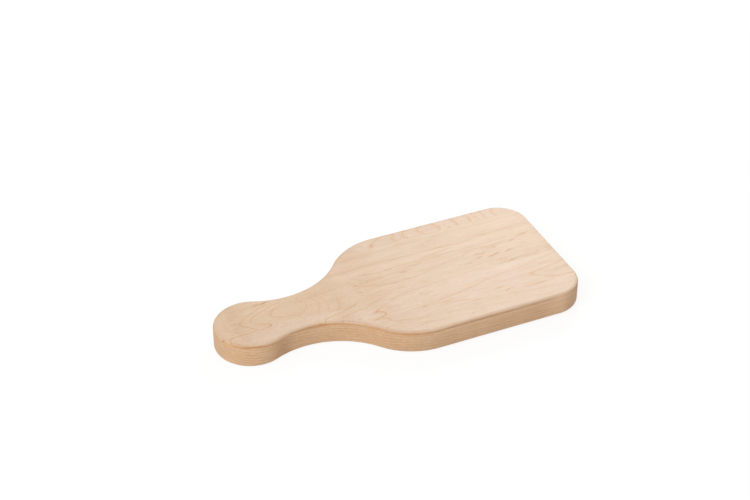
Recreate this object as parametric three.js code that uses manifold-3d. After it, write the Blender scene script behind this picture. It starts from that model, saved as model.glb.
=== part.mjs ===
// A paddle-shaped maple serving board, edge-glued from three staves.
// The staves are glued into one panel, the panel is cut to the paddle outline,
// and its upper and lower edges are rounded over.
// Millimetres, +Z up. The origin is the middle of the underside.
// +X runs along the grain from the knob to the square end, and +Y to the far side.
import * as THREE from "three";
import { mergeVertices } from "three/addons/utils/BufferGeometryUtils.js";
import Module from "manifold-3d";

// Driving dimensions of the panel
const BOARD_LENGTH = 279.4; // from the tip of the knob to the square end
const BOARD_THICKNESS = 19.05;
const NEAR_STAVE_WIDTH = 53.45;
const MIDDLE_STAVE_WIDTH = 60.4;
const FAR_STAVE_WIDTH = 12.95;
const GLUE_THICKNESS = 0.1;

// Driving dimensions of the paddle outline, which is the same on both sides of its middle line
const CORNER_RADIUS = 24.5; // the two corners of the square end
const SHOULDER_RADIUS = 52; // where the blade begins to narrow
const NECK_RADIUS = 63; // the hollow between shoulder and knob
const NECK_WIDTH = 41.6;
const KNOB_DIAMETER = 56.2;
const EDGE_ROUND = 2.4; // round-over of the upper and lower edges

// Fineness of the round stretches
const ARC_STEP = Math.PI / 45;
const ROUND_STEPS = 4;

const boardWidth =
  NEAR_STAVE_WIDTH + GLUE_THICKNESS + MIDDLE_STAVE_WIDTH + GLUE_THICKNESS + FAR_STAVE_WIDTH;
const nearEdge = -boardWidth / 2;

const wasm = await Module();
wasm.setup();

// Points of an arc, without its last one, so that arcs and lines can be strung together.
function arc(centreX, centreY, radius, start, end) {
  const steps = 2 * Math.ceil(Math.abs(end - start) / ARC_STEP / 2);
  const points = [];
  for (let i = 0; i < steps; i++) {
    const angle = start + ((end - start) * i) / steps;
    points.push(
      new THREE.Vector2(centreX + radius * Math.cos(angle), centreY + radius * Math.sin(angle)),
    );
  }
  return points;
}

// The paddle outline, counter-clockwise from the square end's near corner.
// Neighbouring arcs are tangent, so each one's end follows from the next one's centre.
function paddleOutline() {
  const endX = BOARD_LENGTH / 2;
  const halfWidth = boardWidth / 2;
  const knobRadius = KNOB_DIAMETER / 2;
  const knobX = knobRadius - BOARD_LENGTH / 2;
  const cornerX = endX - CORNER_RADIUS;
  const cornerY = halfWidth - CORNER_RADIUS;

  const neckY = NECK_WIDTH / 2 + NECK_RADIUS;
  const neckX = knobX + Math.sqrt((knobRadius + NECK_RADIUS) ** 2 - neckY ** 2);
  const shoulderY = halfWidth - SHOULDER_RADIUS;
  const shoulderX =
    neckX + Math.sqrt((SHOULDER_RADIUS + NECK_RADIUS) ** 2 - (neckY - shoulderY) ** 2);

  const quarter = Math.PI / 2;
  const toNeck = Math.atan2(neckY - shoulderY, neckX - shoulderX);
  const toKnob = Math.atan2(-neckY, knobX - neckX);
  return [
    ...arc(cornerX, -cornerY, CORNER_RADIUS, -quarter, 0),
    new THREE.Vector2(endX, -cornerY),
    ...arc(cornerX, cornerY, CORNER_RADIUS, 0, quarter),
    new THREE.Vector2(cornerX, halfWidth),
    ...arc(shoulderX, shoulderY, SHOULDER_RADIUS, quarter, toNeck),
    ...arc(neckX, neckY, NECK_RADIUS, toNeck - Math.PI, toKnob),
    ...arc(knobX, 0, knobRadius, toKnob + Math.PI, Math.PI - toKnob),
    ...arc(neckX, -neckY, NECK_RADIUS, -toKnob, Math.PI - toNeck),
    ...arc(shoulderX, -shoulderY, SHOULDER_RADIUS, -toNeck, -quarter),
    new THREE.Vector2(shoulderX, -halfWidth),
  ];
}

function toSolid(geometry) {
  geometry.deleteAttribute("normal");
  geometry.deleteAttribute("uv");
  const merged = mergeVertices(geometry);
  return new wasm.Manifold(
    new wasm.Mesh({
      numProp: 3,
      vertProperties: new Float32Array(merged.getAttribute("position").array),
      triVerts: new Uint32Array(merged.index.array),
    }),
  );
}

function toGeometry(solid) {
  const mesh = solid.getMesh();
  const geometry = new THREE.BufferGeometry();
  geometry.setAttribute("position", new THREE.BufferAttribute(mesh.vertProperties, mesh.numProp));
  geometry.setIndex(new THREE.BufferAttribute(mesh.triVerts, 1));
  geometry.computeVertexNormals();
  return geometry;
}

// The whole panel, cut to the outline and rounded over, with its underside at z = 0.
function cutPanel() {
  const panel = new THREE.ExtrudeGeometry(new THREE.Shape(paddleOutline()), {
    depth: BOARD_THICKNESS - 2 * EDGE_ROUND,
    bevelThickness: EDGE_ROUND,
    bevelSize: EDGE_ROUND,
    bevelOffset: -EDGE_ROUND,
    bevelSegments: ROUND_STEPS,
  });
  panel.translate(0, 0, EDGE_ROUND);
  return toSolid(panel);
}

// A block of the panel's length and thickness and more, between two planes across Y.
function slice(lowY, highY) {
  const block = new THREE.BoxGeometry(2 * BOARD_LENGTH, 1, 3 * BOARD_THICKNESS);
  block.translate(0, 0.5, BOARD_THICKNESS / 2);
  block.applyMatrix4(new THREE.Matrix4().makeScale(1, highY - lowY, 1));
  block.translate(0, lowY, 0);
  return toSolid(block);
}

const pinkMaple = new THREE.MeshStandardMaterial({ color: 0xead2ba, roughness: 0.55, metalness: 0 });
const tanMaple = new THREE.MeshStandardMaterial({ color: 0xe8cdae, roughness: 0.55, metalness: 0 });
const driedGlue = new THREE.MeshStandardMaterial({ color: 0xc8a479, roughness: 0.5, metalness: 0 });

// The lay-up across the panel, from its near edge to its far edge
const layUp = [
  { name: "near_stave", width: NEAR_STAVE_WIDTH, material: pinkMaple },
  { name: "near_glue_line", width: GLUE_THICKNESS, material: driedGlue },
  { name: "middle_stave", width: MIDDLE_STAVE_WIDTH, material: tanMaple },
  { name: "far_glue_line", width: GLUE_THICKNESS, material: driedGlue },
  { name: "far_stave", width: FAR_STAVE_WIDTH, material: pinkMaple },
];

const board = new THREE.Group();
const panel = cutPanel();
let lowY = nearEdge;
for (const { name, width, material } of layUp) {
  const highY = lowY + width;
  const mesh = new THREE.Mesh(toGeometry(panel.intersect(slice(lowY, highY))), material);
  mesh.name = name;
  board.add(mesh);
  lowY = highY;
}

export default board;
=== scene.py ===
import math

import bpy
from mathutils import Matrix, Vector


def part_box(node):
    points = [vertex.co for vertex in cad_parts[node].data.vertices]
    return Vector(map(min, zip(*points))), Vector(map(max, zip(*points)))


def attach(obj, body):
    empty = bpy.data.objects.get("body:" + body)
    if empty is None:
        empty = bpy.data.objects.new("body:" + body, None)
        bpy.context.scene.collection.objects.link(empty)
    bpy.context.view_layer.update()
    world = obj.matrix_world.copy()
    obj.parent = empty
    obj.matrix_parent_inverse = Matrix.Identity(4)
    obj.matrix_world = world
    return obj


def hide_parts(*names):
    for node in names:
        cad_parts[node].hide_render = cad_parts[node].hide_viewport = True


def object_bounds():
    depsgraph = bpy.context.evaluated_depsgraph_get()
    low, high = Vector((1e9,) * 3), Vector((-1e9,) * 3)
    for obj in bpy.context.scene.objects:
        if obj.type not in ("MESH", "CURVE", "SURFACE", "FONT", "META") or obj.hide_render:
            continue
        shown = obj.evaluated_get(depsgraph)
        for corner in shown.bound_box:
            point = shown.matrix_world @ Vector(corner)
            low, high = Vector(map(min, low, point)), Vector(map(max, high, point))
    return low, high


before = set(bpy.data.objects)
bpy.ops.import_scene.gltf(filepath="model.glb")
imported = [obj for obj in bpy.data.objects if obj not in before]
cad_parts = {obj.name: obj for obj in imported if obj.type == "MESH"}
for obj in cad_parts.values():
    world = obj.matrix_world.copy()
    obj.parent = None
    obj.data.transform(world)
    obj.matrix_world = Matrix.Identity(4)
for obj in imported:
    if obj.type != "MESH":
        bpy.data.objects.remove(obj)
cad_low, cad_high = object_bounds()

# The panel: maple staves glued edge to edge, cut to a paddle and routed along both edges.
# Its outline is a drawing of eight corners, each filleted until the arcs meet, and the
# routed profile follows it all round. A stave or a glue film is one slice of this panel.
MM = 0.001
CORNER_RADIUS = 24.5 * MM
SHOULDER_RADIUS = 52 * MM
NECK_RADIUS = 63 * MM
NECK_WIDTH = 41.6 * MM
KNOB_RADIUS = 28.1 * MM
EDGE_ROUND = 2.4 * MM
FACE_MARGIN = 1.2 * MM  # a flat strip that keeps the round-over's shading off the broad faces
OUTLINE_WELD = 0.01 * MM  # joins the ends of neighbouring arcs
RIM_WELD = 0.002 * MM  # joins the broad faces to the rim
SIDE_TOLERANCE = 1 * MM  # a slice's side this close to the panel's own edge isn't sawn
SAW_REACH = 4  # the saw block's length in half lengths of the panel
SAW_HEIGHT = 3  # its height in thicknesses of the panel
ARC_STEPS = 46
ROUND_STEPS = 10

end_x = cad_high.x
half_width = cad_high.y
thickness = cad_high.z
knob = Vector((cad_low.x + KNOB_RADIUS, 0))
neck_y = NECK_WIDTH / 2 + NECK_RADIUS
neck_x = knob.x + math.sqrt((KNOB_RADIUS + NECK_RADIUS) ** 2 - neck_y**2)
neck = Vector((neck_x, neck_y))
shoulder_y = half_width - SHOULDER_RADIUS
shoulder_x = neck.x + math.sqrt((SHOULDER_RADIUS + NECK_RADIUS) ** 2 - (neck_y - shoulder_y) ** 2)
shoulder = Vector((shoulder_x, shoulder_y))


def heading(start, end):
    return math.atan2(end.y - start.y, end.x - start.x)


def tangents_meet(centre, radius, start, end):
    """Where the tangents at the two ends of an arc meet: the corner that the arc fillets."""
    middle = (start + end) / 2
    reach = radius / math.cos((end - start) / 2)
    return Vector((centre.x + reach * math.cos(middle), centre.y + reach * math.sin(middle)))


far_corners = [
    (Vector((end_x, half_width)), CORNER_RADIUS),
    (tangents_meet(shoulder, SHOULDER_RADIUS, math.pi / 2, heading(shoulder, neck)), SHOULDER_RADIUS),
    (tangents_meet(neck, NECK_RADIUS, heading(neck, shoulder), heading(neck, knob)), NECK_RADIUS),
    (tangents_meet(knob, KNOB_RADIUS, heading(knob, neck), math.pi), KNOB_RADIUS),
]
near_corners = [(Vector((corner.x, -corner.y)), radius) for corner, radius in reversed(far_corners)]
corners = far_corners + near_corners


class Wire:
    """An output of a node. Sums, products and the like of wires add Math nodes to their tree."""

    def __init__(self, socket):
        self.socket = socket
        self.tree = socket.id_data

    @classmethod
    def node(cls, tree, kind, settings=None, sockets=None, output=0):
        """Adds a node, with its settings first and then the values or wires of its sockets."""
        made = tree.nodes.new(kind)
        for name, value in (settings or {}).items():
            setattr(made, name, value)
        for name, value in (sockets or {}).items():
            for one in value if isinstance(value, list) else [value]:
                if isinstance(one, Wire):
                    tree.links.new(one.socket, made.inputs[name])
                else:
                    made.inputs[name].default_value = one
        return cls(made.outputs[output]) if made.outputs else None

    def maths(self, operation, *others):
        sockets = dict(enumerate((self, *others)))
        return self.node(self.tree, "ShaderNodeMath", {"operation": operation}, sockets)

    def __add__(self, other):
        return self.maths("ADD", other)

    def __sub__(self, other):
        return self.maths("SUBTRACT", other)

    def __rsub__(self, other):
        return self.maths("MULTIPLY_ADD", -1, other)

    def __mul__(self, other):
        return self.maths("MULTIPLY", other)

    def __truediv__(self, other):
        return self.maths("DIVIDE", other)

    __radd__ = __add__
    __rmul__ = __mul__


def axis_of(wire, axis):
    """The X, Y or Z of a wire that carries a vector."""
    return Wire.node(wire.tree, "ShaderNodeSeparateXYZ", {}, {"Vector": wire}, axis)


panel_tree = bpy.data.node_groups.new("routed_panel", "GeometryNodeTree")
panel_inputs = {
    "Drawing": "NodeSocketGeometry",
    "Thickness": "NodeSocketFloat",
    "Edge Round": "NodeSocketFloat",
    "Face Margin": "NodeSocketFloat",
    "Low Side": "NodeSocketFloat",
    "High Side": "NodeSocketFloat",
    "Material": "NodeSocketMaterial",
}
panel_sockets = {}
for name, kind in panel_inputs.items():
    panel_sockets[name] = panel_tree.interface.new_socket(name, in_out="INPUT", socket_type=kind)
panel_tree.interface.new_socket("Slice", in_out="OUTPUT", socket_type="NodeSocketGeometry")
given = panel_tree.nodes.new("NodeGroupInput")
wires = {name: Wire(given.outputs[name]) for name in panel_inputs}


def shape(kind, settings=None, sockets=None, output=0):
    return Wire.node(panel_tree, kind, settings, sockets, output)


kept_radius = {"Name": "corner_radius"}
corner_radius = shape("GeometryNodeInputNamedAttribute", {"data_type": "FLOAT"}, kept_radius)
drawn = shape("GeometryNodeMeshToCurve", {}, {"Mesh": wires["Drawing"]})
arcs = {"Curve": drawn, "Count": ARC_STEPS, "Radius": corner_radius}
filleted = shape("GeometryNodeFilletCurve", {"mode": "POLY"}, arcs)
chained = shape("GeometryNodeCurveToMesh", {}, {"Curve": filleted})
welded = shape("GeometryNodeMergeByDistance", {}, {"Geometry": chained, "Distance": OUTLINE_WELD})
closed = shape("GeometryNodeMeshToCurve", {}, {"Mesh": welded})
outline = shape("GeometryNodeSetCurveNormal", {"mode": "Z_UP"}, {"Curve": closed})

# The routed profile: a half circle pulled apart to the panel's thickness, with its two end
# points laid on the broad faces.
round_angle = math.pi / 2 / ROUND_STEPS
half_circle = shape(
    "GeometryNodeCurveArc",
    {},
    {
        "Resolution": 2 * ROUND_STEPS + 3,
        "Radius": wires["Edge Round"],
        "Start Angle": -math.pi / 2 - round_angle,
        "Sweep Angle": math.pi + 2 * round_angle,
    },
)
point = shape("GeometryNodeInputPosition")
point_x = axis_of(point, "X")
point_y = axis_of(point, "Y")
half_thickness = wires["Thickness"] / 2
upper_or_lower = point_y.maths("SIGN")
pulled = shape(
    "ShaderNodeCombineXYZ",
    {},
    {
        "X": point_x - wires["Edge Round"],
        "Y": point_y + upper_or_lower * (half_thickness - wires["Edge Round"]),
    },
)
inset = wires["Edge Round"] + wires["Face Margin"]
laid = shape("ShaderNodeCombineXYZ", {}, {"X": inset * -1, "Y": upper_or_lower * half_thickness})
end_points = shape("GeometryNodeCurveEndpointSelection")
tall = shape("GeometryNodeSetPosition", {}, {"Geometry": half_circle, "Position": pulled})
laid_ends = {"Geometry": tall, "Selection": end_points, "Position": laid}
profile = shape("GeometryNodeSetPosition", {}, laid_ends)
swept = shape("GeometryNodeCurveToMesh", {}, {"Curve": outline, "Profile Curve": profile})
lift = shape("ShaderNodeCombineXYZ", {}, {"Z": half_thickness})
rim = shape("GeometryNodeTransform", {}, {"Geometry": swept, "Translation": lift})

# The broad faces inside the round-over, and the slice between the two sides of the piece.
outwards = shape("GeometryNodeInputNormal")
to_face = {"Vector": outwards, "Scale": inset * -1}
inwards = shape("ShaderNodeVectorMath", {"operation": "SCALE"}, to_face)
face_line = shape("GeometryNodeSetPosition", {}, {"Geometry": outline, "Offset": inwards})
face = shape("GeometryNodeFillCurve", {"mode": "NGONS"}, {"Curve": face_line})
rise = shape("ShaderNodeCombineXYZ", {}, {"Z": wires["Thickness"]})
upper_face = shape("GeometryNodeTransform", {}, {"Geometry": face, "Translation": rise})
lower_face = shape("GeometryNodeFlipFaces", {}, {"Mesh": face})
faces_and_rim = shape("GeometryNodeJoinGeometry", {}, {"Geometry": [lower_face, upper_face, rim]})
panel = shape("GeometryNodeMergeByDistance", {}, {"Geometry": faces_and_rim, "Distance": RIM_WELD})
smooth_panel = shape("GeometryNodeSetShadeSmooth", {}, {"Geometry": panel})
block_size = shape(
    "ShaderNodeCombineXYZ",
    {},
    {
        "X": SAW_REACH * end_x,
        "Y": wires["High Side"] - wires["Low Side"],
        "Z": wires["Thickness"] * SAW_HEIGHT,
    },
)
block_place = shape("ShaderNodeCombineXYZ", {}, {"Y": (wires["High Side"] + wires["Low Side"]) / 2})
block = shape("GeometryNodeMeshCube", {}, {"Size": block_size})
placed_block = shape("GeometryNodeTransform", {}, {"Geometry": block, "Translation": block_place})
saw = {"operation": "INTERSECT", "solver": "EXACT"}
sawn = shape("GeometryNodeMeshBoolean", saw, {"Mesh 2": [smooth_panel, placed_block]})
sawn_edges = Wire(sawn.socket.node.outputs["Intersecting Edges"])
crisp = shape(
    "GeometryNodeSetShadeSmooth",
    {"domain": "EDGE"},
    {"Geometry": sawn, "Selection": sawn_edges, "Shade Smooth": False},
)
realized = shape("GeometryNodeRealizeInstances", {}, {"Geometry": crisp})
finished = shape("GeometryNodeSetMaterial", {}, {"Geometry": realized, "Material": wires["Material"]})
shape("NodeGroupOutput", {}, {"Slice": finished})


def slice_panel(name, node, material):
    """Saws the slice of the panel that a CAD node holds, and stands it in for that node."""
    drawing = bpy.data.meshes.new(name + "_drawing")
    sides = [(i, (i + 1) % len(corners)) for i in range(len(corners))]
    drawing.from_pydata([(corner.x, corner.y, 0) for corner, radius in corners], sides, [])
    radii = drawing.attributes.new("corner_radius", "FLOAT", "POINT")
    radii.data.foreach_set("value", [radius for corner, radius in corners])
    drawn_piece = bpy.data.objects.new(name, drawing)
    bpy.context.scene.collection.objects.link(drawn_piece)
    low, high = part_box(node)
    spare = thickness  # past the panel's own edge, so that no sawn side lies on it
    values = {
        "Thickness": thickness,
        "Edge Round": EDGE_ROUND,
        "Face Margin": FACE_MARGIN,
        "Low Side": low.y if low.y > cad_low.y + SIDE_TOLERANCE else low.y - spare,
        "High Side": high.y if high.y < cad_high.y - SIDE_TOLERANCE else high.y + spare,
        "Material": material,
    }
    modifier = drawn_piece.modifiers.new("routed_panel", "NODES")
    modifier.node_group = panel_tree
    for socket_name, value in values.items():
        modifier[panel_sockets[socket_name].identifier] = value
    depsgraph = bpy.context.evaluated_depsgraph_get()
    drawn_piece.data = bpy.data.meshes.new_from_object(drawn_piece.evaluated_get(depsgraph))
    drawn_piece.modifiers.clear()
    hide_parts(node)
    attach(drawn_piece, "root")
    return drawn_piece


# The near stave: flat-sawn hard maple, sanded fine and lightly oiled to a satin finish.
# It came from close under the bark, so the growth rings lie almost flat in it and break out
# of the broad faces as long arches that open towards the square end. Lengths here are in mm.
RING_WIDTH = 2.5
RING_LEAN = 0.6  # how far along x a ring shifts for each mm that it goes down
SLOPE_STEP = 0.4  # over which a line's slope is taken
SHARP_SIDE = 0.32  # over which a ring's dark line ends towards the bark
SOFT_SIDE = 0.85  # over which it fades towards the heart
FACE_FADE = (2.5, 0.5)  # how far from a broad face its marks start to show, and are full
OWN_SHIFT = (137, 71, 53)  # sets the wood of each stave apart from the others'
OTHER_SHIFT = (311, 173, 97)
ROUGHNESS = 0.38
FIBRE_ROUGHNESS = 0.1
SIDE_ROUGHNESS = 0.35
BUMP_STRENGTH = 0.15
BUMP_HEIGHT = 0.1 * MM
GRAIN_SWING = (1.06, 1.11, 1.18)  # how much paler the palest fibres are, and darker the darkest
NEAR_TONE = (222, 192.7, 164.6)

# What each mark multiplies the colour of the wood by. The colour of the square end's round-over,
# painted light, is laid over it.
LINE_TINT = (0.94, 0.75, 0.51, 1)
FLECK_TINT = (0.91, 0.70, 0.49, 1)
SIDE_TINT = (1.015, 0.92, 0.785, 1)
SIDE_LINE_TINT = (0.87, 0.74, 0.59, 1)
BLADE_LINE_TINT = (0.90, 0.83, 0.76, 1)
# a painted highlight: a thin pale line along the sides under the round-over
PALE_LINE_HIGHLIGHT_TINT = (1.12, 1.18, 1.30, 1)
# painted light on the sides: low down at the shoulder and the knob, and at the blade's corner
SIDE_LIGHT_TINT = (1.10, 1.11, 1.15, 1)
# painted shade on the side of the neck that faces the square end, where less light reaches it
NECK_SHADE_TINT = (0.84, 0.82, 0.80, 1)
# painted shade on the blade's corner, where its side turns away from the light
CORNER_SHADE_TINT = (0.84, 0.80, 0.78, 1)
# painted shade on the round-over at the square end's corner, where it turns away from the light
TURN_SHADE_TINT = (0.62, 0.50, 0.41, 1)
# painted shade along the lower edge of the sides
FOOT_SHADE_TINT = (1.0, 0.93, 0.82, 1)
# router scorching along the upper edge, with painted shade of the round-over in it
SCORCH_AND_SHADE_TINT = (0.78, 0.55, 0.30, 1)
# a darker, less red form of it, which at the knob is painted shade on the round-over
DULL_TINT = (0.64, 0.49, 0.36, 1)
# a ring line along the shoulder's upper crease, with painted shade along that crease
EDGE_RING_AND_SHADE_TINT = (0.90, 0.835, 0.77, 1)
# a painted highlight along the blade's upper edge and at its corner
EDGE_HIGHLIGHT_TINT = (1.06, 1.05, 1.04, 1)
# painted light on the square end's round-over, which faces away from the lamps
ARRIS_LIGHT_TINT = (0.98, 0.785, 0.60, 1)

# The length, width and height of the patches in which the wood varies, and how strongly it does.
FIBRE_PATCH = (22, 0.5, 0.5)
FIBRE_STRENGTH = 0.9
STREAK_PATCH = (14, 1.8, 1.8)
STREAK_STRENGTH = 1.5
BAND_PATCH = (60, 5, 5)
BAND_STRENGTH = 0.6
CLOUD_PATCH = (30, 12, 12)
CLOUD_STRENGTH = 0.5
MOTTLE_PATCH = (2.4, 1.5, 1.5)
MOTTLE_STRENGTH = 0.9
HANDLE_CALM = 0.4  # how much weaker the streaks are on the handle
HANDLE_MOTTLE = 0.5  # how much stronger the mottling is there
PORE_PATCH = (5, 0.7, 0.7)
PORE_LEVELS = (0.1, 0.3)  # the swing at which a pore starts to show, and is full
PORE_STRENGTH = 0.35
DASH_PATCH = (4, 4, 0.6)
DASH_LEVELS = (0.17, 0.3)
DASH_STRENGTH = 0.6
DASH_LEAST = 0.5  # what is left of the dashes away from the neck
FLECK_PATCH = (3, 0.6, 0.6)
FLECK_LEVEL = 1.25
FLECK_SWING = 2.1
BEND_X_PATCH = (14, 5, 9)
BEND_X = 1.8
BEND_Y_PATCH = (30, 12, 12)
BEND_Y = 1.4
SWAY_PATCH = (70, 50, 14)
SWAY = 1.4
WAVE_PATCH = (12, 12, 4)
WAVE = 0.8
FADING_PATCH = (22, 8, 8)
FADING_LEVELS = (-0.35, 0.15)
FACE_LINE_LEAST = 0.65  # what is left of a line where it fades
SIDE_LINE_LEAST = 0.4

# Stretches along x, from where something starts to show to where it is full.
KNOB_END = (-118, -132)
HANDLE = (5, -40)
BLADE = (-20, 15)
DULL_BLADE = (0, 25)
PALE_LINE_START = (-70, -55)
PALE_LINE_LIFTED = (10, -20)
EDGE_RING_AND_SHADE_START = (-53, -44)
EDGE_RING_AND_SHADE_END = (-4, -16)
EDGE_RING_AND_SHADE_LIFTED = (-26, -42)
EDGE_HIGHLIGHT_START = (-5, 30)
EDGE_HIGHLIGHT_CORNER = (102, 118)
CORNER_SHADE_START = (116, 124)
TURN_START = (130, 135)
ARRIS_START = (125, 137)

# Places along x, with their reach to either side.
DASH_NECK = (-96, 14)
NECK_SHADE_PLACE = (-95.5, 8.8)
DULL_NECK = (-76, 16)
DULL_KNOB = (-128, 10)
RIM_LINE_KNOB = (-128, 3.5)
PALE_LINE_GAP = (-6, 12)
FOOT_GAP = (-36, 12)
PALE_SHOULDER = (-36, 9)
PALE_KNOB = (-130, 14)
PALE_CORNER = (114, 11)

# How far below the upper face a mark lies and how wide it is, or where it starts to show and is full.
SIDE_TOP = (0.5, 1.6)
EDGE_HIGHLIGHT_TOP = (0.01, 0.12)
EDGE_HIGHLIGHT_FOOT = (0.75, 0.4)
TURN_TOP = (0.1, 0.9)
NECK_SHADE_TOP = (1.4, 3)
ARRIS_LINE = (0.6, 0.55)
PALE_LINE_DEPTH = 3.9
PALE_LINE_LIFT = 0.5
PALE_LINE_WIDTH = 0.4
EDGE_RING_AND_SHADE_DEPTH = 0.8
EDGE_RING_AND_SHADE_LIFT = 0.5
EDGE_RING_AND_SHADE_WIDTH = 0.45
EDGE_RING_AND_SHADE_NARROWING = 0.15

# The same, above the underside, and out from the knob's outline.
FOOT_FADE = (0.1, 2)
FOOT_LINE = (1, 0.7)
FOOT_EDGE = (0.05, 0.4)
TURN_FOOT = (-4, 14)
PALE_FOOT = (9, 3)
KNOB_RIM = (-1.05, -0.3)
RIM_LINE = (-1.9, 0.7)

# How strong the marks are.
CORNER_STRENGTH = 2.2
FOOT_STRENGTH = 0.8
FOOT_GAP_LOSS = 0.6
DULL_NECK_SHARE = 0.65
RIM_LINE_STRENGTH = 0.12
RIM_LINE_KNOB_STRENGTH = 0.36
PALE_SHOULDER_STRENGTH = 0.75
PALE_KNOB_STRENGTH = 0.85
PALE_LINE_STRENGTH = 0.75
PALE_LINE_SWING = 1.5
PALE_LINE_PATCH = (15, 15, 2)
SCORCH_AND_SHADE_SWING = 1.6
SCORCH_AND_SHADE_PATCH = (7, 7, 1.4)

# How high a ring runs along the sides, from the knob to the square end.
RING_COURSE = ((-140, 0), (-105, -4), (-50, -8), (-30, -8), (-5, -6), (10, -6.2), (60, -9), (140, -11))
# The router's scorching along the upper edge, with painted shade of the round-over in it, from the knob
# to the square end: how far below the face it lies, how dark it is and how wide.
SCORCH_AND_SHADE_COURSE = (
    ((-140, 1.2), (-128, 1.2), (-122, 0.95), (-117, 1.12), (-112, 1.4), (-106, 1.7), (-75, 1.7))
    + ((-66, 1.85), (-58, 1.65), (-51, 1.9), (-40, 2.4), (-25, 1.95), (-15, 1.95), (-3, 2), (12, 1.78))
    + ((30, 1.65), (140, 1.65))
)
SCORCH_AND_SHADE_STRENGTH = (
    ((-140, 0.2), (-134, 0.12), (-130, 0.3), (-127, 0.45), (-122, 0.8), (-117, 0.75), (-112, 0.64))
    + ((-107, 0.22), (-101, 0.05), (-95, 0), (-90, 0.15), (-86, 0.42), (-80, 0.71), (-75, 0.84))
    + ((-66, 0.81), (-58, 0.68), (-51, 0.57), (-40, 0.44), (-25, 0.48), (-15, 0.52), (-3, 0.56))
    + ((12, 0.53), (30, 0.57), (100, 0.57), (116, 0.14), (140, 0.14))
)
SCORCH_AND_SHADE_WIDTH = (
    ((-140, 0.78), (-66, 0.8), (-51, 0.75), (-40, 0.8), (-25, 1.2), (-15, 1.4), (-3, 1.15))
    + ((12, 0.82), (140, 0.75))
)
NEAR_LINES = (
    # a line's strength, its width and its points, from the glue line to the near edge
    (
        1.1,
        1,
        ((-100, -9.6), (-104, -10), (-111.7, -10.5), (-119.3, -10.9), (-126.9, -11.4), (-130.2, -12.1))
        + ((-132.1, -13.3), (-132.8, -15.2), (-132.2, -17.2), (-130, -19.6), (-126.5, -22.4))
        + ((-121, -26), (-112, -31), (-40, -63)),
    ),
    (
        1.1,
        1,
        ((-28.7, -9.6), (-40, -14.4), (-51, -16.8), (-58, -18.6), (-60.2, -20.8), (-59.6, -23.5))
        + ((-52, -29), (-25, -50), (0, -66)),
    ),
    (
        0.8,
        1,
        ((-5.6, -9.9), (-15.9, -14), (-26.8, -18.2), (-46, -22.1), (-48.4, -24.2), (-48, -26.2))
        + ((-44.5, -28.8),),
    ),
    (
        0.7,
        0.8,
        ((40, -9.9), (15.6, -12.7), (1.5, -15.3), (-9.4, -19.5), (-20.4, -24.6), (-22.3, -26.2))
        + ((-17.8, -27.2), (-14.9, -30.1), (-19.1, -33), (-25.5, -34.2), (-17.1, -35.8))
        + ((-15.4, -39.7), (-10.1, -41.9), (2.1, -44.6), (29.7, -47.1), (50, -50.8), (62, -51.8))
        + ((71.3, -54.5), (100, -57), (140, -64)),
    ),
    (
        0.9,
        1,
        ((165, -9.9), (137, -13.3), (121.6, -16.1), (96.8, -19.9), (70, -23.9), (57.9, -27.2))
        + ((26, -32.6), (14.3, -34.4), (30.8, -35.2), (37, -37.5), (43.3, -38.4), (51.1, -42.2))
        + ((62, -44), (66, -45.5), (82.5, -46.6), (93.1, -48.4), (105.5, -50), (133, -50.7))
        + ((200, -63),),
    ),
    (
        1.25,
        1.3,
        ((165, -19.6), (137.8, -24.7), (116, -28.8), (107, -30.1), (111.7, -34.5), (117.9, -38.2))
        + ((124.1, -40.2), (136.5, -41.2), (170, -43)),
    ),
)
NEAR_FLECKS = (
    # the middle of the fleck, its length and width, its slope and its strength
    (76.5, -36.3, 8, 1.4, 0.03, 0.9),
    (80.7, -41.6, 4, 1.4, 0.55, 0.9),
    (84.6, -40.4, 6, 1.2, 0.15, 0.5),
    (104, -43.6, 28, 1.3, 0, 0.6),
    (107.5, -43.4, 9, 1.3, 0, 0.5),
    (123.5, -21.6, 11, 1.3, 0.05, 0.5),
    (131, -32.6, 16, 3, 0.12, 0.3),
    (136.5, -32, 5, 3, 0, 0.4),
    (18.9, -18.6, 2.5, 2.5, 0, 0.3),
    (21.8, -17.3, 7, 1.3, 0.28, 0.4),
    (22.5, -20, 8, 1.3, 0, 0.3),
    (-20.2, -25.1, 5.5, 2, 0.5, 0.75),
    (-19.4, -26.4, 4, 1.6, 0, 0.5),
    (-17.2, -27.5, 3, 1.8, -0.3, 0.6),
    (-15.8, -30, 2.2, 2.8, 0, 0.6),
    (-19, -33, 6, 1.8, 0.3, 0.6),
    (-24.4, -34.1, 4, 1.6, 0, 0.6),
    (-17.6, -35.6, 3.5, 1.4, -0.4, 0.4),
    (-15.4, -38.4, 1.8, 3.6, 0, 0.35),
    (-10, -41.6, 8, 1.3, -0.1, 0.3),
    (15, -34.6, 4, 1.6, 0.2, 0.5),
    (108, -30.2, 4, 2, 0, 0.4),
    (44, -56.5, 3, 1.3, 0, 0.7),
    (-36.4, -29.4, 3.5, 1.4, 0, 0.6),
    (-21.3, -46.1, 2.3, 1.6, 0, 0.7),
    (-12.6, -58.3, 3, 2, 0, 0.6),
    (-73, -20, 2.5, 1.2, 0, 0.2),
    (-67, -18, 3, 1.1, 0, 0.5),
    (-65, -21, 2.5, 1.1, 0, 0.4),
    (-66.5, -20.9, 9, 1.7, -0.1, 0.4),
    (-47.5, -10.5, 7, 1.1, 0, 0.5),
    (9, -52.4, 26, 1.6, -0.15, 0.35),
    (-137.3, -10.4, 2, 2, 0, 1.4),
)
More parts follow.
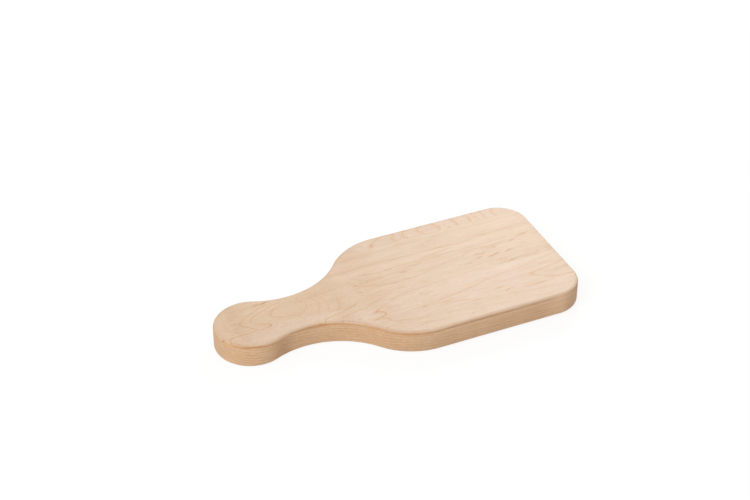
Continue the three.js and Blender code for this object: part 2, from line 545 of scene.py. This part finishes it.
NEAR_CASTS = (
    # a paler or a darker patch, in the same way
    (100, -14.5, 90, 10, 0.07, 0.4),
    (139, -35, 9, 60, 0, -0.4),
    (121, -35, 14, 9, 0, -0.35),
    (10, -55, 16, 6, 0, -0.25),
    (-105, -15, 20, 8, 0, -0.2),
    (-58, -15, 26, 8, 0, 0.3),
    (-30, -25, 14, 8, 0, 0.3),
    (-10, -25, 14, 8, 0, -0.3),
    (5, -45, 24, 10, 0, -0.2),
)
LOW_ARMS = (
    # where the lower arms of the arches are paler: from which y, from which x, and by how much
    ((-43, -47), (0, 15), 0.4),
    ((-32, -36), (105, 112), 0.2),
)
top = thickness / MM


def paint(red, green, blue):
    """A colour as it is read off a screen, in linear light."""
    parts = []
    for part in (red, green, blue):
        share = part / 255
        parts.append(share / 12.92 if share <= 0.04045 else ((share + 0.055) / 1.055) ** 2.4)
    return (*parts, 1)


def ramp(value, low, high):
    """0 below low and 1 above high, with a smooth rise between them. The two may be swapped."""
    limits = {"Value": value, "From Min": low, "From Max": high}
    return Wire.node(value.tree, "ShaderNodeMapRange", {"interpolation_type": "SMOOTHSTEP"}, limits)


def bell(value, middle, width):
    """1 at the middle, falling away to nothing at about twice the width from it."""
    off = (value - middle) / width
    return (off * off * -1).maths("EXPONENT")


def mix(share, first, second, blend_type="MIX"):
    """A colour that goes from the first to the second as share goes from 0 to 1."""
    settings = {"data_type": "RGBA", "blend_type": blend_type}
    return Wire.node(share.tree, "ShaderNodeMix", settings, {0: share, 6: first, 7: second}, 2)


def vector(operation, *parts):
    sockets = dict(enumerate(parts))
    return Wire.node(parts[0].tree, "ShaderNodeVectorMath", {"operation": operation}, sockets)


def spot_in_mm(tree):
    """Where a point lies in the board's own frame."""
    metres = Wire.node(tree, "ShaderNodeTexCoord", output="Object")
    return vector("MULTIPLY", metres, (1 / MM, 1 / MM, 1 / MM))


def drift(spot, size, detail=2.0, roughness=0.5):
    """A random swing, mostly within a quarter either way, in patches of this size along x, y, z."""
    patches = vector("MULTIPLY", spot, tuple(1 / side for side in size))
    sockets = {"Vector": patches, "Scale": 1.0, "Detail": detail, "Roughness": roughness}
    return Wire.node(spot.tree, "ShaderNodeTexNoise", {}, sockets) - 0.5


def blobs(x, y, marks):
    """The sum of soft spots, each given by its middle, length, width, slope and strength."""
    total = 0
    for middle_x, middle_y, length, width, slope, strength in marks:
        along = (x - middle_x) * (2 / length)
        across = (y - middle_y - (x - middle_x) * slope) * (2 / width)
        total = ((along * along + across * across) * -1).maths("EXPONENT") * strength + total
    return total


def dark_line(off, width=1):
    """A ring's dark line, at so many mm before it or past it."""
    fade = (off / (SHARP_SIDE * width)).maths("MAXIMUM", off / (-SOFT_SIDE * width))
    return (fade * -1).maths("EXPONENT")


def trace(along, points):
    """The other coordinate of a line drawn through a few points, at a place along it."""
    first, last = points[0][0], points[-1][0]
    low = min(across for place, across in points)
    span = max(across for place, across in points) - low
    share = (along - first) / (last - first)
    drawn = Wire.node(along.tree, "ShaderNodeFloatCurve", {}, {"Value": share})
    mapping = drawn.socket.node.mapping
    mapping.extend = "HORIZONTAL"
    curve = mapping.curves[0]
    curve.points[0].location = (0, (points[0][1] - low) / span)
    curve.points[1].location = (1, (points[-1][1] - low) / span)
    for place, across in points[1:-1]:
        curve.points.new((place - first) / (last - first), (across - low) / span)
    for point in curve.points:
        point.handle_type = "AUTO_CLAMPED"
    mapping.update()
    return low + span * drawn


def stroke(along, across, points, width, fades=None):
    """A dark line through points, each given by its place along the line and across it.

    fades holds the lengths over which it sets in at its first point and ends at its last.
    """
    here = trace(along, points)
    slope = (trace(along + SLOPE_STEP, points) - here) / SLOPE_STEP
    line = dark_line((across - here) / (slope * slope + 1).maths("SQRT"), width)
    if fades:
        start, end = points[0][0], points[-1][0]
        line = line * ramp(along, start, start + fades[0]) * ramp(along, end, end - fades[1])
    return line


def cross_lines(x, y, lines, fades=None):
    """Dark lines that run across the board, each given by its strength, its width and its points."""
    total = 0
    for strength, width, points in lines:
        crosswise = [(point_y, point_x) for point_x, point_y in points]
        total = stroke(y, x, crosswise, width, fades) * strength + total
    return total


class Place:
    """Where in the wood of a stave a point lies, as wires in mm or as shares from 0 to 1."""

    def __init__(self, tree, seed):
        spot = spot_in_mm(tree)
        self.own = vector("ADD", spot, tuple(seed * shift for shift in OWN_SHIFT))
        self.other = vector("ADD", self.own, OTHER_SHIFT)
        self.x = axis_of(spot, "X")
        self.y = axis_of(spot, "Y")
        self.z = axis_of(spot, "Z")
        self.depth = top - self.z
        from_middle = self.x - knob.x / MM
        outwards = (from_middle * from_middle + self.y * self.y).maths("SQRT")
        self.from_knob = outwards - KNOB_RADIUS / MM
        normal = Wire.node(tree, "ShaderNodeNewGeometry", output="Normal")
        self.end_grain = axis_of(normal, "X").maths("ABSOLUTE")
        self.turning = self.end_grain * (1 - self.end_grain) * CORNER_STRENGTH
        self.knob_end = ramp(self.x, *KNOB_END)
        self.handle = ramp(self.x, *HANDLE)
        self.above_foot = ramp(self.z, *FOOT_FADE)
        rim = ramp(self.from_knob, *KNOB_RIM) * self.knob_end
        self.side = ramp(self.depth, *SIDE_TOP).maths("MAXIMUM", rim) * self.above_foot


def ring_lines(place, figure):
    """How strong the rings' dark lines are: on the broad faces, as figure draws them, and the sides."""
    bent_x = place.x + drift(place.own, BEND_X_PATCH) * BEND_X + place.depth * RING_LEAN
    bent_y = place.y + drift(place.other, BEND_Y_PATCH) * BEND_Y
    broad = ramp(place.depth, *FACE_FADE) + ramp(place.z, *FACE_FADE)
    sway = drift(place.own, SWAY_PATCH) * SWAY + drift(place.other, WAVE_PATCH) * WAVE
    ring = (place.z - trace(place.x, RING_COURSE)) / RING_WIDTH + sway
    past = ring.maths("FRACT") - 0.5
    edge_line = dark_line(past * RING_WIDTH) * (1 - past * past * 4)
    strong = ramp(drift(place.own, FADING_PATCH, detail=1), *FADING_LEVELS)
    face_line = figure(bent_x, bent_y) * broad * (FACE_LINE_LEAST + (1 - FACE_LINE_LEAST) * strong)
    side_line = edge_line * (SIDE_LINE_LEAST + (1 - SIDE_LINE_LEAST) * strong) * place.side
    return face_line, side_line


def specks(place, flecks):
    """A stave's flecks, the pores all over it and the short dashes along its sides."""
    rough_edge = FLECK_LEVEL + FLECK_SWING * drift(place.own, FLECK_PATCH)
    drawn = blobs(place.x, place.y, flecks) * ramp(place.depth, *FACE_FADE) * rough_edge
    pores = ramp(drift(place.other, PORE_PATCH, detail=1), *PORE_LEVELS)
    dashes = ramp(drift(place.other, DASH_PATCH, detail=1), *DASH_LEVELS)
    shown_dashes = dashes * (DASH_LEAST + bell(place.x, *DASH_NECK)) * place.side
    return drawn + pores * PORE_STRENGTH + shown_dashes * DASH_STRENGTH


def grain(place, fibre, casts):
    """How pale the wood is, from 0 to 1, with a stave's own paler and darker patches."""
    streak = drift(place.own, STREAK_PATCH) * STREAK_STRENGTH
    streaks = (fibre * FIBRE_STRENGTH + streak) * (1 - HANDLE_CALM * place.handle)
    band = drift(place.own, BAND_PATCH) * BAND_STRENGTH
    cloud = drift(place.own, CLOUD_PATCH) * CLOUD_STRENGTH
    mottle = drift(place.other, MOTTLE_PATCH, roughness=0.6)
    spots = mottle * (MOTTLE_STRENGTH + HANDLE_MOTTLE * place.handle)
    return 0.5 + streaks + band + cloud + spots + blobs(place.x, place.y, casts)


def scorch_and_shade_marks(place):
    """The router's scorching under the upper edge, with painted shade of the round-over in it, and the
    line that it leaves around the knob's end.
    """
    x = place.x
    uneven = 1 + drift(place.own, SCORCH_AND_SHADE_PATCH) * SCORCH_AND_SHADE_SWING
    # router scorching under the upper edge, with painted shade of the round-over in it
    burn_and_shade = bell(place.depth, trace(x, SCORCH_AND_SHADE_COURSE), trace(x, SCORCH_AND_SHADE_WIDTH))
    scorch_and_shade = burn_and_shade * trace(x, SCORCH_AND_SHADE_STRENGTH) * uneven
    # at the knob the darker form is painted shade on its round-over
    dull = bell(x, *DULL_KNOB) + DULL_NECK_SHARE * bell(x, *DULL_NECK) + ramp(x, *DULL_BLADE)
    rim_share = RIM_LINE_STRENGTH * place.knob_end + RIM_LINE_KNOB_STRENGTH * bell(x, *RIM_LINE_KNOB)
    rim_line = bell(place.from_knob, *RIM_LINE) * rim_share * place.above_foot
    return [(scorch_and_shade, mix(dull, SCORCH_AND_SHADE_TINT, DULL_TINT)), (rim_line, SCORCH_AND_SHADE_TINT)]


def side_marks(place):
    """The pale and dark parts of the sides, each with its share at a point and its tint. They are
    painted light and shade: a highlight line, light low down and at the blade's corner, shade in the
    neck, at the square end's corner and along the lower edge.
    """
    x, z, depth = place.x, place.z, place.depth
    # a painted highlight: a thin pale line along the sides under the round-over
    pale_depth = PALE_LINE_DEPTH - PALE_LINE_LIFT * ramp(x, *PALE_LINE_LIFTED)
    pale_part = ramp(x, *PALE_LINE_START) * (1 - bell(x, *PALE_LINE_GAP))
    uneven = PALE_LINE_STRENGTH + drift(place.other, PALE_LINE_PATCH) * PALE_LINE_SWING
    highlight_line = bell(depth, pale_depth, PALE_LINE_WIDTH) * pale_part * uneven
    # painted light on the sides: low down at the shoulder and the knob, and at the blade's corner
    pale_shoulder = PALE_SHOULDER_STRENGTH * bell(x, *PALE_SHOULDER)
    pale_knob = PALE_KNOB_STRENGTH * bell(x, *PALE_KNOB)
    low_side_light = (pale_shoulder + pale_knob) * ramp(z, *PALE_FOOT)
    painted_side_light = (bell(x, *PALE_CORNER) + low_side_light) * place.side
    # painted shade on the side of the neck that faces the square end, where less light reaches it
    neck_shade = bell(x, *NECK_SHADE_PLACE) * ramp(depth, *NECK_SHADE_TOP) * place.above_foot
    # painted shade on the blade's corner, where its side turns away from the light
    corner = place.turning * ramp(x, *CORNER_SHADE_START) * place.side
    # painted shade on the round-over at the square end's corner, where it turns away from the light
    turn_shade = place.turning * ramp(x, *TURN_START) * ramp(depth, *TURN_TOP) * ramp(z, *TURN_FOOT)
    # painted shade in a thin line along the lower edge of the sides
    foot_shade_share = FOOT_STRENGTH - FOOT_GAP_LOSS * bell(x, *FOOT_GAP)
    foot_shade = bell(z, *FOOT_LINE) * ramp(z, *FOOT_EDGE) * foot_shade_share
    return [
        (highlight_line, PALE_LINE_HIGHLIGHT_TINT),
        (painted_side_light, SIDE_LIGHT_TINT),
        (neck_shade, NECK_SHADE_TINT),
        (corner, CORNER_SHADE_TINT),
        (turn_shade, TURN_SHADE_TINT),
        (foot_shade, FOOT_SHADE_TINT),
    ]


def edge_marks(place):
    """The ring line and painted shade along the shoulder's upper edge, and a painted highlight along
    the blade's.
    """
    x, depth = place.x, place.depth
    # a ring line along the shoulder's upper crease, with painted shade along that crease
    lifted = ramp(x, *EDGE_RING_AND_SHADE_LIFTED)
    ring_and_shade_depth = EDGE_RING_AND_SHADE_DEPTH - EDGE_RING_AND_SHADE_LIFT * lifted
    ring_and_shade_width = EDGE_RING_AND_SHADE_WIDTH - EDGE_RING_AND_SHADE_NARROWING * lifted
    ring_and_shade_part = ramp(x, *EDGE_RING_AND_SHADE_START) * ramp(x, *EDGE_RING_AND_SHADE_END)
    ring = bell(depth, ring_and_shade_depth, ring_and_shade_width) * ring_and_shade_part
    # a painted highlight along the blade's upper edge and at its corner
    highlight_part = ramp(x, *EDGE_HIGHLIGHT_START) + ramp(x, *EDGE_HIGHLIGHT_CORNER)
    painted_highlight = ramp(depth, *EDGE_HIGHLIGHT_TOP) * ramp(depth, *EDGE_HIGHLIGHT_FOOT) * highlight_part
    return [(ring, EDGE_RING_AND_SHADE_TINT), (painted_highlight, EDGE_HIGHLIGHT_TINT)]


def maple(name, seed, tone, tints, figure, flecks, casts):
    """Solid maple. tints are those of its lines, flecks and sides. figure draws its lines at x, y."""
    material = bpy.data.materials.new(name)
    material.use_nodes = True
    tree = material.node_tree
    tree.nodes.clear()
    place = Place(tree, seed)
    fibre = drift(place.own, FIBRE_PATCH, detail=3, roughness=0.6)
    base = paint(*tone)
    swings = (*GRAIN_SWING, 1)
    pale = tuple(part * swing for part, swing in zip(base, swings))
    dark = tuple(part / swing for part, swing in zip(base, swings))
    colour = mix(grain(place, fibre, casts), dark, pale)

    face_line, side_line = ring_lines(place, figure)
    marks = list(zip((face_line, specks(place, flecks), place.side), tints))
    marks.append((side_line, mix(ramp(place.x, *BLADE), SIDE_LINE_TINT, BLADE_LINE_TINT)))
    marks += side_marks(place) + scorch_and_shade_marks(place) + edge_marks(place)
    for share, tint in marks:
        colour = mix(share, colour, tint, "MULTIPLY")
    # painted light on the square end's round-over, which faces away from the lamps
    lit_arris = bell(place.depth, *ARRIS_LINE) * place.end_grain * ramp(place.x, *ARRIS_START)
    colour = mix(lit_arris, colour, ARRIS_LIGHT_TINT)

    rough = ROUGHNESS + fibre * FIBRE_ROUGHNESS + place.side * SIDE_ROUGHNESS
    relief = {"Strength": BUMP_STRENGTH, "Distance": BUMP_HEIGHT, "Height": fibre}
    bump = Wire.node(tree, "ShaderNodeBump", {}, relief)
    looks = {"Base Color": colour, "Roughness": rough, "Normal": bump}
    body = Wire.node(tree, "ShaderNodeBsdfPrincipled", {}, looks)
    Wire.node(tree, "ShaderNodeOutputMaterial", {}, {"Surface": body})
    return material


def near_figure(x, y):
    paler = 0
    for y_stretch, x_stretch, loss in LOW_ARMS:
        paler = ramp(y, *y_stretch) * ramp(x, *x_stretch) * loss + paler
    return cross_lines(x, y, NEAR_LINES) * (1 - paler)


near_tints = (LINE_TINT, FLECK_TINT, SIDE_TINT)
near_maple = maple("near_maple", 1, NEAR_TONE, near_tints, near_figure, NEAR_FLECKS, NEAR_CASTS)
slice_panel("near_stave_maple", "near_stave", near_maple)

# The near glue line: a film of dried wood glue that shows as a thin ochre line between the near
# and the middle stave, planed and sanded flush with them. It is paler where it is thinner.
GLUE_PALE = (216, 186, 153)
GLUE_DARK = (206, 172, 136)
GLUE_PATCH = (9, 9, 3)
GLUE_SWING = 1.6
GLUE_ROUGHNESS = 0.42
GLUE_ROUGH_PATCH = (2, 2, 1)
GLUE_ROUGH_SWING = 0.3
glue = bpy.data.materials.new("dried_glue")
glue.use_nodes = True
glue_tree = glue.node_tree
glue_body = glue_tree.nodes["Principled BSDF"]
glue_spot = spot_in_mm(glue_tree)
thinness = 0.5 + GLUE_SWING * drift(glue_spot, GLUE_PATCH, detail=3, roughness=0.6)
glue_colour = mix(thinness, paint(*GLUE_DARK), paint(*GLUE_PALE))
glue_rough = GLUE_ROUGHNESS + GLUE_ROUGH_SWING * drift(glue_spot, GLUE_ROUGH_PATCH)
glue_tree.links.new(glue_colour.socket, glue_body.inputs["Base Color"])
glue_tree.links.new(glue_rough.socket, glue_body.inputs["Roughness"])
slice_panel("near_glue_film", "near_glue_line", glue)

# The middle stave: the same maple, a shade more tan. It is sawn through a swelling of the
# trunk at the handle, so that its rings close to loops there, and run on along the blade.
MIDDLE_TONE = (222, 191.6, 160.4)
MIDDLE_LINE_TINT = (0.88, 0.71, 0.49, 1)
MIDDLE_FLECK_TINT = (0.83, 0.63, 0.44, 1)
MIDDLE_SIDE_TINT = (1.0, 0.935, 0.865, 1)
HANDLE_FADES = (1, 1.6)  # over which a line of the handle sets in and ends
BLADE_FADE = 4  # over which a line of the blade does
SHOULDER_X = -20  # a line that starts before this sets in slowly
SHOULDER_FADE = 18
HANDLE_LINES = (
    # a line's strength, its width and its points, from the near to the far side
    (
        0.9,
        0.8,
        ((-75.2, -6.9), (-76, -6), (-77.7, -5), (-79.9, -4), (-83.7, -3.2), (-87.5, -2.2))
        + ((-91.3, -0.7), (-93.6, 0.9), (-94.5, 3.4), (-93.6, 5.4), (-92, 6.9), (-89, 8.3))
        + ((-85.2, 9.2), (-78, 9.9)),
    ),
    (
        0.55,
        0.8,
        ((-75.2, -6.9), (-74.6, -6), (-73.5, -5.2), (-70.8, -3.7), (-68.6, -1.8), (-66.7, 0.5))
        + ((-65.7, 3), (-65.2, 5.8), (-66.3, 8), (-69.3, 9.2), (-78, 10)),
    ),
    (
        0.75,
        0.8,
        ((-110, -11.4), (-103, -10.1), (-100, -9.6), (-99, -8.9), (-98.7, -7.7), (-100.7, -5.9))
        + ((-102.9, -4.8), (-106, -2.9), (-109.7, -0.9), (-111, 1.3), (-110, 3.5), (-106.7, 5.8))
        + ((-102.2, 8), (-96.9, 10.3), (-92.3, 12.2), (-86, 14.3), (-78, 16)),
    ),
    (
        0.5,
        0.8,
        ((-62, -11.4), (-60.6, -8.6), (-58.3, -4.8), (-56.8, -1), (-56.3, 2), (-56.8, 5))
        + ((-58.5, 8), (-63, 11)),
    ),
    (
        0.85,
        0.8,
        ((-108, -11.4), (-109.7, -9.7), (-112, -7), (-114.7, -4), (-117.3, -1.8), (-119.3, 0.2))
        + ((-119.4, 1.4), (-116.3, 5), (-111.7, 8), (-108, 10.2), (-103.4, 11.9), (-99.6, 13.7))
        + ((-95.8, 15.2), (-88, 17.5)),
    ),
    (
        0.5,
        0.8,
        ((-53.5, -11.4), (-52.3, -9), (-51.1, -4.8), (-50.4, -0.3), (-50.6, 3.5), (-51.5, 6.5))
        + ((-53, 9.5), (-57, 13)),
    ),
    (
        0.35,
        0.8,
        ((-120, -11.4), (-123.5, -7.5), (-127, -4.8), (-129.8, -2.2), (-130.7, 0.8), (-129.9, 3.5))
        + ((-126.9, 6.5), (-123.9, 8.6), (-119.3, 12.2), (-115.5, 14.8), (-111.7, 16.7))
        + ((-104, 19),),
    ),
    (
        0.7,
        0.8,
        ((-50, -10.6), (-46, -10), (-43.9, -9.2), (-42.4, -6.4), (-41.7, -2.6), (-41.9, 0.5))
        + ((-42.8, 3),),
    ),
)
MIDDLE_LINES = (
    # a line's strength, its width and its points, from the handle to the square end
    (
        0.22,
        1,
        ((-27, 43.2), (-0.7, 44.3), (26, 42.4), (40, 43.4), (62, 43.6), (84.4, 45.9), (96, 45.2))
        + ((145, 46.2),),
    ),
    (
        0.58,
        1.5,
        ((-45, 28.6), (-18, 29.6), (6, 30.4), (21.7, 29.4), (42, 29.9), (62, 28.2), (71.4, 28))
        + ((90, 30.5), (106.8, 31.4), (120, 31.1), (145, 31.3)),
    ),
    (0.5, 1.2, ((-14, 20), (-1.2, 18.4), (7, 19.6), (28, 20.1), (45, 22.5), (64, 25))),
    (
        0.6,
        1.2,
        ((-28, 21.2), (-18.4, 16.9), (-5.4, 11.3), (4, 11.7), (12.3, 13), (23.8, 14.3), (45.4, 19.6))
        + ((60, 20.2), (84.4, 19.6), (107.8, 21.2), (114, 21.6)),
    ),
    (
        0.6,
        1.2,
        ((-40, 22), (-35.6, 17.7), (-25.2, 11.7), (-19.4, 7.8), (-2.3, 3.1), (6.6, 1.5), (18.1, 1.6))
        + ((35, 4.7), (60, 9.8), (67.3, 10.9), (86, 16.3), (94, 14.1), (102, 15.2), (112, 15))
        + ((116.4, 16.3), (145, 17.5)),
    ),
    (0.35, 1, ((55, -2.4), (62, -0.9), (70, 0.6), (77.6, 4), (84, 5.4))),
    (0.5, 1.3, ((-28, -2.2), (-19, -5.2), (-10, -8.9), (-1, -9.5), (8, -9.8))),
    (0.35, 1, ((-14, -3.2), (-1, -5), (8.5, -6.3), (27, -7.6), (34, -8))),
    (0.7, 1, ((88, -9.9), (100, -8.6), (106, -7.6), (113, -6.6))),
)
MIDDLE_FLECKS = (
    (94.5, 3.8, 6.5, 1.7, 0.2, 1.1),
    (89.8, 2.6, 5.5, 1.4, 0.15, 0.75),
    (105.3, 3.9, 7.5, 1.8, 0.1, 0.65),
    (106.5, 5.4, 2, 1.6, 0, 0.4),
    (113.8, 15.2, 6, 1.7, 0.35, 0.55),
    (125.3, 19.6, 11, 1.8, 0.08, 0.8),
    (96.3, 30.7, 5, 1.6, 0.05, 0.4),
    (80.3, 9.4, 5, 1.5, 0.2, 0.8),
    (84.6, 8.3, 4.5, 1.5, 0.35, 0.8),
    (80.2, 4.5, 5.5, 1.4, 0.2, 0.75),
    (97, 12.3, 5, 1.5, 0.1, 0.6),
    (110.5, 21.4, 6, 1.3, 0.1, 0.3),
    (69.6, 0.5, 4.5, 1.4, 0.15, 0.35),
    (102.5, -8.3, 7, 1.4, 0.15, 0.8),
    (113.5, -6.6, 5, 1.2, 0.08, 0.4),
    (116, -8.6, 5, 1.3, 0.15, 0.5),
    (123, -7.9, 7, 1.2, 0.1, 0.35),
    (119, -3.2, 9, 1.3, 0.05, 0.3),
    (94.2, -5, 1.6, 2.8, 0, 0.5),
    (98.6, -4.8, 1.6, 2.6, 0, 0.4),
    (96.4, -6.7, 3, 1.2, 0, 0.35),
    (126, -6, 1.8, 4, 0, 0.3),
    (135.5, -6, 5, 9, 0, 0.3),
    (7, 1.6, 7, 1.5, 0, 0.25),
    (-22.6, 10, 3.3, 2, 0, 0.4),
    (-17, 11, 5, 1.5, 0.1, 0.5),
    (-12.6, 11.1, 3.3, 1.8, 0.2, 0.45),
    (-1, 11.5, 8, 1.7, 0, 0.25),
    (18.2, 11.5, 6, 1.6, 0.03, 0.8),
    (7.2, 19.5, 2.5, 2, 0, 0.25),
    (10.3, 19.6, 2.5, 1.5, 0.3, 0.3),
    (-22.6, 1.1, 3.3, 1.4, -0.2, 0.6),
    (-24.7, 5.6, 3.3, 1.5, 0, 0.3),
    (-21, 43.4, 14, 2.2, 0, 0.15),
    (-100.5, 18.4, 6, 1.3, 0.2, 0.8),
    (-94.5, 18.7, 6, 1.4, 0.2, 1.2),
    (-102, 20.2, 4, 1.1, 0, 0.35),
    (-69.4, 14.1, 1.5, 2, 0, 0.4),
    (-98.9, -8.3, 2.2, 2.6, 0, 0.5),
    (-101.6, -9.5, 5, 1.3, 0.05, 0.55),
)
MIDDLE_CASTS = (
    (45, 25, 200, 7, 0, 0.25),
    (0, 37, 70, 9, 0, 0.25),
    (-97, 12, 34, 8, 0, 0.4),
    (-56, 12, 20, 8, 0, -0.4),
    (-20, 25, 30, 8, 0, 0.2),
    (10, 47, 22, 7, 0, 0.25),
    (-122, 0, 36, 10, 0, -0.2),
    (115, -2, 55, 20, 0, -0.3),
    (139, 20, 9, 80, 0, -0.4),
)


def middle_figure(x, y):
    total = cross_lines(x, y, HANDLE_LINES, HANDLE_FADES)
    for strength, width, points in MIDDLE_LINES:
        set_in = SHOULDER_FADE if points[0][0] < SHOULDER_X else BLADE_FADE
        mirrored = [(point_x, -point_y) for point_x, point_y in points]
        line = stroke(x, y * -1, mirrored, width, (set_in, BLADE_FADE))
        total = line * strength + total
    return total


middle_tints = (MIDDLE_LINE_TINT, MIDDLE_FLECK_TINT, MIDDLE_SIDE_TINT)
middle_maple = maple(
    "middle_maple", 2, MIDDLE_TONE, middle_tints, middle_figure, MIDDLE_FLECKS, MIDDLE_CASTS
)
slice_panel("middle_stave_maple", "middle_stave", middle_maple)

# The far glue line: the same film of dried glue, between the middle and the far stave.
slice_panel("far_glue_film", "far_glue_line", glue)

# The far stave: a narrow strip of the pinker maple. The rings cross it from side to side, so
# that each one shows as a short dark bar.
FAR_TONE = (221.3, 191.2, 163.3)
FAR_LINES = (
    # a line's strength, its width and its points, from the glue line to the far edge
    (1.0, 1.4, ((8.5, 51), (9.4, 52.8), (12.9, 56.3), (18.6, 59.4), (22.5, 61.6))),
    (0.85, 1.3, ((31.4, 51), (29.5, 53.7), (29, 55.2), (30, 57.3), (33.5, 61.6))),
    (1.05, 1.4, ((40.6, 51), (38.2, 55.5), (39.2, 58), (42.4, 61.6))),
    (1.05, 1.4, ((55.1, 51), (53.8, 53.4), (51.8, 56.6), (52.6, 58.6), (57, 61.6))),
    (1.2, 1.5, ((69.3, 50.9), (69.6, 53), (67.7, 58.2), (66.6, 61.6))),
    (1.2, 1.5, ((84.7, 51.2), (85.2, 52.5), (84.4, 57.1), (82.4, 61.6))),
    (1.15, 1.5, ((96.1, 51), (97.2, 56.6), (96.3, 61.6))),
    (0.95, 1.2, ((103.5, 51), (102.4, 58.2), (101.7, 61.6))),
    (0.95, 1.2, ((110.3, 51), (109.1, 58.2), (108.5, 61.6))),
    (0.95, 1.3, ((119.8, 51), (118, 55.6), (118.3, 57.7), (120.3, 61.6))),
)
FAR_FLECKS = (
    (76.5, 50.9, 2.3, 1.4, 0, 0.9),
    (2, 55.4, 2.4, 2, 0.4, 0.3),
    (9.8, 52.6, 3, 4, 0, 0.45),
)
FAR_CASTS = (
    (8, 57, 22, 9, 0, 0.35),
    (128, 53, 12, 12, 0, -0.3),
)


def far_figure(x, y):
    return cross_lines(x, y, FAR_LINES)


far_tints = (LINE_TINT, MIDDLE_FLECK_TINT, SIDE_TINT)
far_maple = maple("far_maple", 3, FAR_TONE, far_tints, far_figure, FAR_FLECKS, FAR_CASTS)
slice_panel("far_stave_maple", "far_stave", far_maple)

# The floor: a wide sheet of white paper under the board. The eye and mirrored rays see it
# white, and it keeps part of the board's soft shadow.
FLOOR_REACH = 4.0
FLOOR_DROP = 0.1 * MM  # so that it doesn't lie in the board's underside
PAPER_WHITE = 0.8
PAPER_GLOW = 1.1
GLOW_SHARE = 0.75
quarters = ((-1, -1), (1, -1), (1, 1), (-1, 1))
sheet = [(FLOOR_REACH * x, FLOOR_REACH * y, -FLOOR_DROP) for x, y in quarters]
floor_mesh = bpy.data.meshes.new("floor")
floor_mesh.from_pydata(sheet, [], [(0, 1, 2, 3)])
floor = bpy.data.objects.new("floor", floor_mesh)
bpy.context.scene.collection.objects.link(floor)


def seen_directly(tree):
    """1 for a ray from the eye, and for one that a gloss or a clear body passes on to the eye."""
    total = 0
    for kind in ("Is Camera Ray", "Is Glossy Ray", "Is Transmission Ray"):
        total = Wire.node(tree, "ShaderNodeLightPath", output=kind) + total
    return total.maths("MINIMUM", 1)


paper = bpy.data.materials.new("white_paper")
paper.use_nodes = True
paper_tree = paper.node_tree
paper_tree.nodes.clear()
paper_colour = (PAPER_WHITE, PAPER_WHITE, PAPER_WHITE, 1)
matt = Wire.node(paper_tree, "ShaderNodeBsdfDiffuse", {}, {"Color": paper_colour})
shine = {"Color": (1, 1, 1, 1), "Strength": PAPER_GLOW}
glow = Wire.node(paper_tree, "ShaderNodeEmission", {}, shine)
glow_share = seen_directly(paper_tree) * GLOW_SHARE
shown = Wire.node(paper_tree, "ShaderNodeMixShader", {}, {0: glow_share, 1: matt, 2: glow})
Wire.node(paper_tree, "ShaderNodeOutputMaterial", {}, {"Surface": shown})
floor_mesh.materials.append(paper)

# The light: a white room, with a big soft box over the handle's near side and a smaller one
# behind the square end.
ROOM_LEVEL = 0.52
KEY_PLACE = (-0.9, -0.5, 1.1)
KEY_AIM = (0, 0, 0)
KEY_SIZE = 1.0
KEY_POWER = 10.3
BACK_PLACE = (0.62, 0.75, 0.6)
BACK_AIM = (0.05, 0, 0)
BACK_SIZE = 0.5
BACK_POWER = 3.32
world = bpy.data.worlds.new("studio")
bpy.context.scene.world = world
world.use_nodes = True
sky = world.node_tree
sky.nodes.clear()
level = ROOM_LEVEL + (1 - ROOM_LEVEL) * seen_directly(sky)
air = Wire.node(sky, "ShaderNodeBackground", {}, {"Color": (1, 1, 1, 1), "Strength": level})
Wire.node(sky, "ShaderNodeOutputWorld", {}, {"Surface": air})


def soft_box(name, place, aim, size, power):
    lamp = bpy.data.lights.new(name, "AREA")
    lamp.shape = "SQUARE"
    lamp.size = size
    lamp.energy = power
    box = bpy.data.objects.new(name, lamp)
    bpy.context.scene.collection.objects.link(box)
    box.location = place
    box.rotation_euler = (Vector(aim) - Vector(place)).to_track_quat("-Z", "Y").to_euler()


soft_box("key", KEY_PLACE, KEY_AIM, KEY_SIZE, KEY_POWER)
soft_box("back", BACK_PLACE, BACK_AIM, BACK_SIZE, BACK_POWER)

# The camera, as it was found from the board's outline in the picture: where the board's
# origin lies in it, how far away that is, and from which side and height it is seen.
IMAGE_WIDTH = 750
IMAGE_HEIGHT = 500
SENSOR_WIDTH = 36
FOCAL_PIXELS = 1747.25
ORIGIN_PIXEL = (387.95, 305.89)
ORIGIN_DEPTH = 1.33909
VIEW_AZIMUTH = math.radians(24.24)
VIEW_ELEVATION = math.radians(35.68)
view = Vector(
    (
        math.sin(VIEW_AZIMUTH) * math.cos(VIEW_ELEVATION),
        math.cos(VIEW_AZIMUTH) * math.cos(VIEW_ELEVATION),
        -math.sin(VIEW_ELEVATION),
    )
)
right = Vector((math.cos(VIEW_AZIMUTH), -math.sin(VIEW_AZIMUTH), 0))
up = right.cross(view)
lens = bpy.data.cameras.new("camera")
lens.sensor_width = SENSOR_WIDTH
lens.lens = FOCAL_PIXELS / IMAGE_WIDTH * SENSOR_WIDTH
camera = bpy.data.objects.new("camera", lens)
bpy.context.scene.collection.objects.link(camera)
aside = (ORIGIN_PIXEL[0] - IMAGE_WIDTH / 2) / FOCAL_PIXELS
above = (IMAGE_HEIGHT / 2 - ORIGIN_PIXEL[1]) / FOCAL_PIXELS
camera.location = -ORIGIN_DEPTH * (view + aside * right + above * up)
camera.rotation_euler = view.to_track_quat("-Z", "Y").to_euler()
bpy.context.scene.camera = camera
bpy.context.scene.view_settings.view_transform = "Standard"
